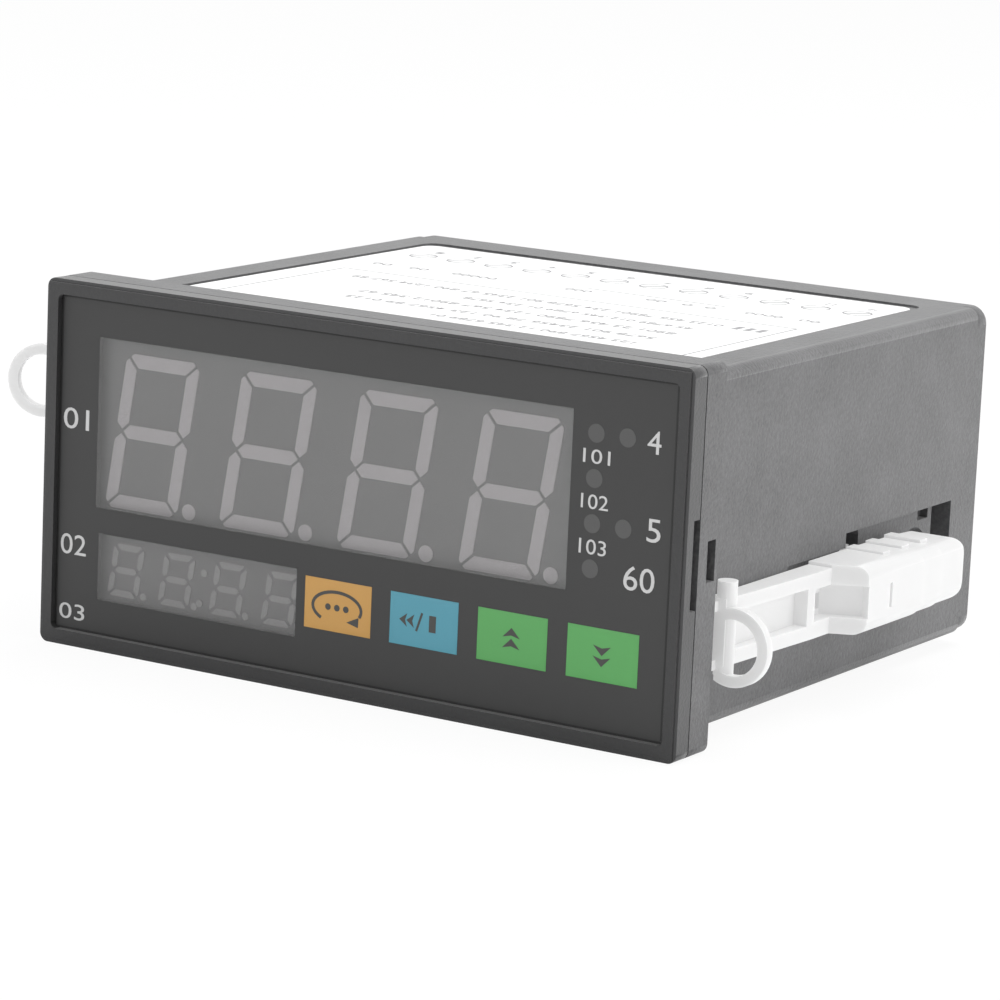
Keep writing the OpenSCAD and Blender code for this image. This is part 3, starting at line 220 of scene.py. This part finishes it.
def light_room():
    """A room that is white to the camera and dimmer to the object, and three soft boxes."""
    world = bpy.data.worlds.new("room")
    bpy.context.scene.world = world
    world.use_nodes = True
    tree = world.node_tree
    tree.nodes.clear()
    path = tree.nodes.new("ShaderNodeLightPath")
    lit = tree.nodes.new("ShaderNodeBackground")
    lit.inputs["Color"].default_value = (1, 1, 1, 1)
    lit.inputs["Strength"].default_value = ROOM_LIGHT
    shown = tree.nodes.new("ShaderNodeBackground")
    shown.inputs["Color"].default_value = (1, 1, 1, 1)
    shown.inputs["Strength"].default_value = WHITE_LEVEL
    mixed = tree.nodes.new("ShaderNodeMixShader")
    out = tree.nodes.new("ShaderNodeOutputWorld")
    tree.links.new(path.outputs["Is Camera Ray"], mixed.inputs[0])
    tree.links.new(lit.outputs[0], mixed.inputs[1])
    tree.links.new(shown.outputs[0], mixed.inputs[2])
    tree.links.new(mixed.outputs[0], out.inputs[0])
    soft_box("top_box", place=(0.1, 0.25, 0.9), aim=(0, 0.03, 0), width=0.9, height=0.7, power=9)
    soft_box("side_box", place=(1.0, 0.3, 0.35), aim=(0, 0.03, 0), width=0.7, height=0.6, power=4.5)
    soft_box("front_box", place=(-0.5, -1.1, 0.5), aim=(0, 0, 0), width=0.6, height=0.5, power=5)


# Materials

# Moulded plastic: size of its broad patches, their part in the mottle, and how far
# patches and grain move the gloss.
PATCH_SIZE = 9 * MM
PATCH_MOTTLE = 0.6
PATCH_GLOSS = 0.06
GRAIN_GLOSS = 0.14

# Painted shade at the recess of the film: how much darker its walls and the face round it are
# painted, and how deep behind the face the painted shade of the face reaches at full strength and at
# most.
WALL_SHADE = 0.6
FACE_SHADE = 0.35
SHADE_FULL = 0.05 * MM
SHADE_END = 0.15 * MM

# Board tracks and core sheets to the metre
TRACK_SCALE = 260.0
SHEET_SCALE = 620.0


def moulded(name, color, roughness, grain=0.3 * MM, depth=0.25, mottle=0.1, recess=None,
            **constants):
    """Moulded plastic: a fine spark-eroded grain, colour and gloss slightly uneven.

    A recess is given as its half width, its half height and the Y of the face round it; its walls
    and the face round it get painted shade."""
    finish = Finish(name, **constants)
    fine = finish.noise(grain, detail=3.0)
    broad = finish.noise(PATCH_SIZE, detail=3.0)
    mottle_and_shade = 1 + ((broad - 0.5) * PATCH_MOTTLE + (fine - 0.5)) * mottle
    if recess:
        wide, tall, front = recess
        # painted shade: the front face is darkened, and the recess walls behind it are darkened more
        face = finish.ramp(0 - finish.axis("Y"), -front - SHADE_END, -front - SHADE_FULL)
        recess_shade_mask = ((wide - finish.axis("X").size()) > 0) * ((tall - finish.axis("Z").size()) > 0)
        mottle_and_shade = mottle_and_shade * (1 - face * FACE_SHADE) * (1 - recess_shade_mask * (1 - face) * WALL_SHADE)
    finish.set("Base Color", finish.tint(color, mottle_and_shade))
    finish.set("Roughness", roughness + (fine - 0.5) * GRAIN_GLOSS + (broad - 0.5) * PATCH_GLOSS)
    finish.bump(fine, depth, grain / 3)
    return finish.material


def plated(name, color, roughness):
    """Plated metal with fine turning marks and a little dulling."""
    finish = Finish(name, Metallic=1.0)
    marks = finish.noise(0.15 * MM, stretch=(1, 6, 1))
    dull = finish.noise(2.2 * MM, detail=4.0)
    finish.set("Base Color", finish.tint(color, 0.9 + dull * 0.2))
    finish.set("Roughness", roughness + (dull - 0.5) * 0.3 + (marks - 0.5) * 0.1)
    finish.bump(marks, strength=0.12, distance=0.03 * MM)
    return finish.material


def board(name, color):
    """Solder mask over copper tracks, with a fine weave under it."""
    finish = Finish(name, Specular_IOR_Level=0.5)
    tracks = finish.node("ShaderNodeTexBrick", {"offset": 0.5},
                         {"Vector": finish.place, "Scale": TRACK_SCALE, "Mortar Size": 0.03}, 1)
    weave = finish.noise(0.4 * MM, stretch=(1, 3, 1))
    finish.set("Base Color", finish.tint(color, 0.85 + weave * 0.2 + tracks * 0.25))
    finish.set("Roughness", 0.3 + weave * 0.15)
    finish.bump(tracks * 0.6 + weave * 0.4, strength=0.2, distance=0.03 * MM)
    return finish.material


def film(name, color, roughness):
    """Printed film or ink: very fine even grain."""
    finish = Finish(name)
    fine = finish.noise(0.12 * MM)
    broad = finish.noise(14 * MM)
    finish.set("Base Color", finish.tint(color, 1 + (broad - 0.5) * 0.06 + (fine - 0.5) * 0.08))
    finish.set("Roughness", roughness + (fine - 0.5) * 0.1)
    finish.bump(fine, strength=0.06, distance=0.01 * MM)
    return finish.material


def window(name, color, alpha):
    """Smoked clear part of the film, over the digits."""
    finish = Finish(name, Alpha=alpha)
    broad = finish.noise(20 * MM)
    finish.set("Base Color", finish.tint(color, 0.97 + broad * 0.06))
    finish.set("Roughness", 0.4 + broad * 0.06)
    return finish.material


def laminated(name, color):
    """Stacked core sheets, seen as fine lines along their edge."""
    finish = Finish(name, Metallic=0.6)
    lines = finish.node("ShaderNodeTexWave", {"bands_direction": "Y"},
                        {"Vector": finish.place, "Scale": SHEET_SCALE, "Distortion": 0.4})
    dull = finish.noise(3 * MM, detail=3.0)
    finish.set("Base Color", finish.tint(color, 0.7 + lines * 0.25 + dull * 0.2))
    finish.set("Roughness", 0.5 + dull * 0.2)
    finish.bump(lines, strength=0.3, distance=0.05 * MM)
    return finish.material


FILM_LOW, FILM_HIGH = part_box("overlay_film")
FILM_GAP = 0.2 * MM
RECESS = (FILM_HIGH.x + FILM_GAP, FILM_HIGH.z + FILM_GAP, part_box("front_bezel")[0].y)
FINISHES = {
    "case_plastic": moulded("case_plastic", rgb(84, 84, 85), roughness=0.5, grain=0.45 * MM,
                            depth=0.45, mottle=1.2, Sheen_Weight=0.3, Sheen_Roughness=0.4),
    # the recess gives this plastic painted shade on its front face and on the walls of the film
    # recess
    "front_plastic": moulded("front_plastic", rgb(51, 51, 52), roughness=0.5, grain=0.4 * MM,
                             depth=0.3, mottle=0.5, recess=RECESS,
                             Sheen_Weight=0.5, Sheen_Roughness=0.4),
    "film_print": film("film_print", rgb(46, 46, 46), roughness=0.55),
    "window_grey": window("window_grey", rgb(148, 148, 148), alpha=0.3),
    "display_grey": moulded("display_grey", rgb(90, 90, 90), roughness=0.5, grain=0.8 * MM,
                            depth=0.02, mottle=0.03),
    "segment_white": moulded("segment_white", rgb(206, 200, 203), roughness=0.4,
                             grain=0.8 * MM, depth=0.02, mottle=0.03),
    "label_white": film("label_white", rgb(236, 236, 236), roughness=0.45),
    "plated_steel": plated("plated_steel", rgb(190, 190, 188), roughness=0.3),
    "core_steel": laminated("core_steel", rgb(120, 118, 112)),
    "contact_brass": plated("contact_brass", rgb(214, 180, 110), roughness=0.3),
    "board_green": board("board_green", rgb(36, 96, 52)),
    "part_black": moulded("part_black", rgb(38, 38, 40), roughness=0.5, grain=0.25 * MM,
                          depth=0.2),
    "part_white": moulded("part_white", rgb(222, 220, 212), roughness=0.45, grain=0.25 * MM,
                          depth=0.15, mottle=0.04),
    "can_sleeve": film("can_sleeve", rgb(40, 42, 84), roughness=0.3),
    "winding_tape": film("winding_tape", rgb(208, 168, 50), roughness=0.3),
    "disc_blue": moulded("disc_blue", rgb(40, 88, 168), roughness=0.3, depth=0.1),
    "key_ochre": film("key_ochre", rgb(186, 141, 73), roughness=0.45),
    "key_blue": film("key_blue", rgb(74, 142, 160), roughness=0.45),
    "key_green": film("key_green", rgb(80, 153, 82), roughness=0.45),
    # a little glow stands for the light that natural nylon lets through
    "clamp_nylon": moulded("clamp_nylon", rgb(164, 164, 164), roughness=0.4, grain=0.5 * MM,
                           depth=0.05, mottle=0.03, Subsurface_Weight=0.35,
                           Subsurface_Scale=0.002, Subsurface_Radius=(1, 1, 1),
                           Emission_Color=(1, 1, 1, 1), Emission_Strength=0.36),
}
INK = film("print_grey", rgb(188, 188, 188), roughness=0.5)
KEY_INK = film("print_dark", rgb(58, 58, 56), roughness=0.5)
SPOT = film("lamp_spot", rgb(72, 72, 72), roughness=0.4)
DIM_SEGMENT = moulded("dim_segment", rgb(156, 152, 154), roughness=0.4, grain=0.8 * MM,
                      depth=0.02, mottle=0.03)
# painted shadow: a near-black line round the film stands for the shadow in the gap between the film
# and the recess wall
FILM_GAP_SHADE = film("film_gap_shade", rgb(24, 24, 24), roughness=0.6)
LABEL_INK = film("label_ink", rgb(150, 150, 152), roughness=0.5)


def dress_nodes():
    """Gives each CAD node the finish of its material slot, and the small digits a dimmer one."""
    for row in frame["record"]["subparts"]:
        node = frame["nodes"][row["node"]]
        node.data.materials.clear()
        node.data.materials.append(FINISHES[row["material_slot"]])
    frame["nodes"]["small_display_segments"].data.materials[0] = DIM_SEGMENT


MOULDED_EDGES = {"case_shell": 0.2 * MM, "front_bezel": 0.1 * MM, "terminal_block": 0.15 * MM,
                 "clamp_right": 0.3 * MM, "clamp_left": 0.3 * MM}
WELD_DISTANCE = 0.004 * MM
SHARP_FROM = math.radians(40)


def soften(node, width):
    """Rounds the sharp edges of a CAD node a little, as a mould does."""
    piece = frame["nodes"][node]
    weld = piece.modifiers.new("weld", "WELD")
    weld.merge_threshold = WELD_DISTANCE
    round_off = piece.modifiers.new("round", "BEVEL")
    round_off.width = width
    round_off.segments = 2
    round_off.limit_method = "ANGLE"
    round_off.angle_limit = SHARP_FROM
    round_off.harden_normals = True


# Pieces

def block(low, high):
    """A closed box from its lowest to its highest corner."""
    made = bmesh.new()
    low, high = Vector(low), Vector(high)
    bmesh.ops.create_cube(made, size=1)
    bmesh.ops.scale(made, vec=high - low, verts=made.verts)
    bmesh.ops.translate(made, vec=(low + high) / 2, verts=made.verts)
    return made


def finish_piece(name, made, body, material, smooth=35):
    """Turns a worked mesh into a named piece that moves with a body."""
    mesh = bpy.data.meshes.new(name)
    bmesh.ops.recalc_face_normals(made, faces=made.faces)
    made.to_mesh(mesh)
    made.free()
    mesh.shade_smooth()
    mesh.set_sharp_from_angle(angle=math.radians(smooth))
    mesh.materials.append(material)
    piece = bpy.data.objects.new(name, mesh)
    bpy.context.collection.objects.link(piece)
    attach(piece, body)


# A drawing plane turned to the front, and to the label as it is read from the back
FACE = {"front": Matrix(((1, 0, 0), (0, 0, -1), (0, 1, 0))),
        "label": Matrix(((-1, 0, 0), (0, -1, 0), (0, 0, 1)))}
INK_THICKNESS = 0.02 * MM
INK_LIFT = 0.012 * MM
SAME_POINT = 0.0001


class Print:
    """Flat printed marks on one face, in millimetres, gathered into one thin piece."""

    def __init__(self, face, level):
        self.made = bmesh.new()
        self.turn = FACE[face]
        self.face = face
        self.level = level

    def lift(self, verts):
        """Turns new marks from the drawing plane to the face."""
        turned = self.turn.to_4x4()
        at = (0, self.level, 0) if self.face == "front" else (0, 0, self.level)
        bmesh.ops.transform(self.made, matrix=Matrix.Translation(at) @ turned, verts=verts)

    def words(self, text, left, right, low, high, bold=0.0):
        """Words stretched to a rectangle of the face."""
        curve = bpy.data.curves.new("words", "FONT")
        curve.body = text
        curve.extrude = 0.5
        curve.offset = bold
        curve.resolution_u = 4
        holder = bpy.data.objects.new("words", curve)
        bpy.context.collection.objects.link(holder)
        graph = bpy.context.evaluated_depsgraph_get()
        mesh = bpy.data.meshes.new_from_object(holder.evaluated_get(graph))
        bpy.data.objects.remove(holder)
        before = set(self.made.verts)
        self.made.from_mesh(mesh)
        bpy.data.meshes.remove(mesh)
        verts = [v for v in self.made.verts if v not in before]
        bmesh.ops.remove_doubles(self.made, verts=verts, dist=SAME_POINT)
        verts = [v for v in self.made.verts if v not in before]
        xs = [v.co.x for v in verts]
        ys = [v.co.y for v in verts]
        x0, x1, y0, y1 = min(xs), max(xs), min(ys), max(ys)
        wide = (right - left) * MM / (x1 - x0)
        tall = (high - low) * MM / (y1 - y0)
        bmesh.ops.translate(self.made, vec=(-x0, -y0, 0), verts=verts)
        bmesh.ops.scale(self.made, vec=(wide, tall, INK_THICKNESS), verts=verts)
        bmesh.ops.translate(self.made, vec=(left * MM, low * MM, 0), verts=verts)
        self.lift(verts)

    def shape(self, points):
        """A filled outline."""
        verts = [self.made.verts.new((x * MM, y * MM, -INK_THICKNESS / 2)) for x, y in points]
        flat = self.made.faces.new(verts)
        grown = bmesh.ops.extrude_face_region(self.made, geom=[flat])["geom"]
        raised = [g for g in grown if isinstance(g, bmesh.types.BMVert)]
        bmesh.ops.translate(self.made, vec=(0, 0, INK_THICKNESS), verts=raised)
        self.lift(verts + raised)

    def disc(self, x, y, radius, steps=32):
        self.shape([(x + radius * math.cos(2 * math.pi * i / steps),
                     y + radius * math.sin(2 * math.pi * i / steps)) for i in range(steps)])

    def stroke(self, points, width):
        """A line of constant width through the points, cut square at its ends."""
        left, right = [], []
        for i, (x, y) in enumerate(points):
            x0, y0 = points[max(i - 1, 0)]
            x1, y1 = points[min(i + 1, len(points) - 1)]
            length = math.hypot(x1 - x0, y1 - y0)
            side = (-(y1 - y0) / length * width / 2, (x1 - x0) / length * width / 2)
            left.append((x + side[0], y + side[1]))
            right.append((x - side[0], y - side[1]))
        for i in range(len(points) - 1):
            self.shape([left[i], left[i + 1], right[i + 1], right[i]])

    def done(self, name, body, material):
        finish_piece(name, self.made, body, material, smooth=20)


FILM_FRONT = FILM_LOW.y
KEYS = {"set": "key_ochre", "shift": "key_blue", "up": "key_green", "down": "key_green"}
KEY_SHEET = 0.25 * MM
PILLOW = 0.16 * MM
PILLOW_RIM = 0.55 * MM
PILLOW_ROUND = 1.2 * MM
SIGN_LIFT = 0.01 * MM


def make_keys():
    """Film keys with a slightly raised pillow each."""
    for key, slot in KEYS.items():
        low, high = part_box("key_" + key)
        made = block((low.x, FILM_FRONT, low.z), (high.x, FILM_FRONT + KEY_SHEET, high.z))
        face = min(made.faces, key=lambda f: f.calc_center_median().y)
        bmesh.ops.inset_region(made, faces=[face], thickness=PILLOW_RIM)
        corners = [e for e in made.edges if all(v in face.verts for v in e.verts)]
        bmesh.ops.translate(made, vec=(0, -PILLOW, 0), verts=face.verts)
        bmesh.ops.bevel(made, geom=list(face.verts) + corners, offset=PILLOW_ROUND,
                        offset_type="OFFSET", segments=6, profile=0.5, affect="EDGES",
                        material=-1, clamp_overlap=True)
        finish_piece("key_face_" + key, made, "button_" + key, FINISHES[slot], smooth=60)


def key_middle(key):
    low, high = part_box("key_" + key)
    return (low.x + high.x) / 2 / MM, (low.z + high.z) / 2 / MM


def set_sign(signs, x, z):
    """A speech bubble: an open ring with a tail, and three dots in it."""
    ring_wide, ring_high = 3.65, 2.0
    ring_line, dot, dot_pitch = 0.42, 0.42, 1.35
    middle = z - 0.15
    arc = [math.radians(a) for a in range(-22, 239, 9)]
    signs.stroke([(x + ring_wide * math.cos(a), middle + ring_high * math.sin(a)) for a in arc],
                 ring_line)
    signs.shape([(x + 1.5, z - 1.75), (x + 3.25, z - 2.2), (x + 3.3, z - 0.9)])
    for i in (-1, 0, 1):
        signs.disc(x + i * dot_pitch, middle, dot, steps=20)


def shift_sign(signs, x, z):
    """Two pointers to the left, a slanted line and the number 1."""
    reach, half, notch, pitch = 1.15, 0.85, 0.85, 1.05
    for i in (0, 1):
        tip = x - 3.5 + i * pitch
        signs.shape([(tip, z), (tip + reach, z + half), (tip + notch, z), (tip + reach, z - half)])
    signs.stroke([(x - 0.95, z - 1.2), (x - 0.15, z + 1.2)], width=0.3)
    signs.words("1", x + 0.9, x + 1.9, z - 1.05, z + 1.05, bold=0.02)


def arrow_sign(signs, x, z, up):
    """Two arrowheads, one over the other. Up is 1 or -1."""
    half, notch = 1.25, 0.3
    for tip in (1.35, 0.0):
        peak = z + up * (tip + 0.05)
        foot = peak - up * half
        signs.shape([(x, peak), (x - half, foot), (x, foot + up * notch), (x + half, foot)])


def mark_keys():
    """A sign on the pillow of each key."""
    for key in KEYS:
        signs = Print("front", FILM_FRONT - PILLOW - SIGN_LIFT)
        x, z = key_middle(key)
        if key == "set":
            set_sign(signs, x, z)
        elif key == "shift":
            shift_sign(signs, x, z)
        else:
            arrow_sign(signs, x, z, 1 if key == "up" else -1)
        signs.done("sign_" + key, "button_" + key, KEY_INK)


# Each number on the film with its left, right, low and high edge, in millimetres
FRONT_NUMBERS = (
    ("01", -45.4, -41.3, 4.55, 7.3), ("02", -45.4, -41.3, -12.0, -9.3),
    ("03", -45.4, -41.3, -20.6, -18.5),
    ("101", 32.8, 36.6, 10.75, 12.5), ("102", 32.8, 36.6, 5.2, 7.0),
    ("103", 32.8, 36.6, -0.35, 1.5),
    ("4", 41.6, 43.5, 13.0, 15.8), ("5", 42.1, 44.0, 2.35, 5.2),
    ("60", 39.2, 43.5, -3.9, -0.9))
LAMP_SPOTS = ((34.5, 14.46), (34.5, 8.95), (34.5, 3.43), (34.5, -2.1),
              (38.85, 14.47), (38.85, 3.41))
LAMP_RADIUS = 1.15
# The painted shadow line round the film: its width, and how far in from the film's edges it lies,
# further in on the right
GAP_SHADE_WIDTH = 0.2
GAP_SHADE_INSET = 0.15
GAP_SHADE_INSET_RIGHT = 0.6


def print_front():
    """Plain numbers on the film, a near-black line along its edge painted as the shadow in the gap
    round the film, and the lamp windows.
    """
    level = FILM_FRONT - INK_LIFT
    marks = Print("front", level)
    for text, left, right, low, high in FRONT_NUMBERS:
        marks.words(text, left, right, low, high)
    marks.done("front_numbers", "front_module", INK)
    # painted shadow: a near-black line along the film's edge, where the gap round the film is in
    # shade
    edge = Print("front", level)
    low, high = FILM_LOW / MM, FILM_HIGH / MM
    left, right = low.x + GAP_SHADE_INSET, high.x - GAP_SHADE_INSET_RIGHT
    down, up = low.z + GAP_SHADE_INSET, high.z - GAP_SHADE_INSET
    edge.stroke(((left, down), (right, down)), GAP_SHADE_WIDTH)
    edge.stroke(((left, up), (right, up)), GAP_SHADE_WIDTH)
    edge.stroke(((left, down + GAP_SHADE_WIDTH), (left, up - GAP_SHADE_WIDTH)), GAP_SHADE_WIDTH)
    edge.stroke(((right, down + GAP_SHADE_WIDTH), (right, up - GAP_SHADE_WIDTH)), GAP_SHADE_WIDTH)
    edge.done("film_gap_shade_line", "front_module", FILM_GAP_SHADE)
    spots = Print("front", level)
    for x, z in LAMP_SPOTS:
        spots.disc(x, z, LAMP_RADIUS)
    spots.done("lamp_windows", "front_module", SPOT)


# Rows of the label with their left and right edge, their distance behind the origin and
# the height of their digits, in millimetres
LABEL_ROWS = (
    ("0123 456 78901 234 5678 901 2345 67 890 1234 567 89", -29, 28, 34.4, 1.7),
    ("45 6789 012 345 6789 01 234 5678", -8, 26.5, 29.3, 1.6),
    ("8901 23 456 7890 1234 567 89012 345 67", -21, 27, 24, 1.7),
    ("5678 901 23456 78 90 123 4567 89 0123", -19.5, 27, 18.9, 1.6),
    ("123 4567 890 12 345 6789 01", -3, 27, 13.9, 1.6))
LABEL_FRAME = (((-34, 6), (-34, 39.6)), ((-34, 39.6), (36, 39.6)), ((36, 39.6), (36, 6)),
               ((36, 6), (-34, 6)))
LABEL_BARS = (30.3, 32, 33.7)
NUMBER_GROUPS = ((-34, -31), (-28, -25), (-21, -14), (-3, 1), (9.5, 12.5), (15, 16.5),
                 (18.5, 20), (24.5, 30), (32.5, 35.5))
GROUPS_Y = 46.7
DIGIT_PITCH = 1.3
DIGIT_HEIGHT = 1.5
RING_COUNT = 12
RING_PITCH = 6.2
RING_RADIUS = 1.9
RINGS_Y = 57.7
LABEL_LINE = 0.25


def print_label():
    """Generic numbers, lines and terminal rings on the label, read from the back."""
    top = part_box("rating_label")[1].z
    marks = Print("label", top + INK_LIFT)

    def row(text, left, right, y, high):
        # the sheet is turned half round, so both coordinates change sign
        marks.words(text, -right, -left, -y - high / 2, -y + high / 2, bold=0.008)

    for text, left, right, y, high in LABEL_ROWS:
        row(text, left, right, y, high)
    for x in LABEL_BARS:
        marks.stroke([(-x, -33.2), (-x, -35.6)], width=0.9)
    for ends in LABEL_FRAME:
        marks.stroke([(-x, -y) for x, y in ends], width=0.22)
    for left, right in NUMBER_GROUPS:
        digits = max(1, round((right - left) / DIGIT_PITCH))
        row("0" * digits, left, right, GROUPS_Y, DIGIT_HEIGHT)
    marks.stroke([(1, -49.2), (-20, -49.2)], LABEL_LINE)
    for i in range(RING_COUNT):
        x, y = -33 + i * RING_PITCH, RINGS_Y
        ring = [(x + RING_RADIUS * math.cos(math.radians(a)),
                 y + RING_RADIUS * math.sin(math.radians(a))) for a in range(0, 361, 15)]
        marks.stroke([(-a, -b) for a, b in ring], LABEL_LINE)
        marks.stroke([(-x + 1.2, -y + 1.2), (-x - 1.2, -y - 1.2)], width=0.4)
        row(str(i + 1), x - 0.6, x + 0.6, y + 4.3, DIGIT_HEIGHT)
    marks.done("label_print", "case", LABEL_INK)


place_camera()
place_floor()
light_room()
dress_nodes()
for moulded_node, edge_width in MOULDED_EDGES.items():
    soften(moulded_node, edge_width)
make_keys()
mark_keys()
print_front()
print_label()

bpy.context.scene.view_settings.view_transform = "Standard"
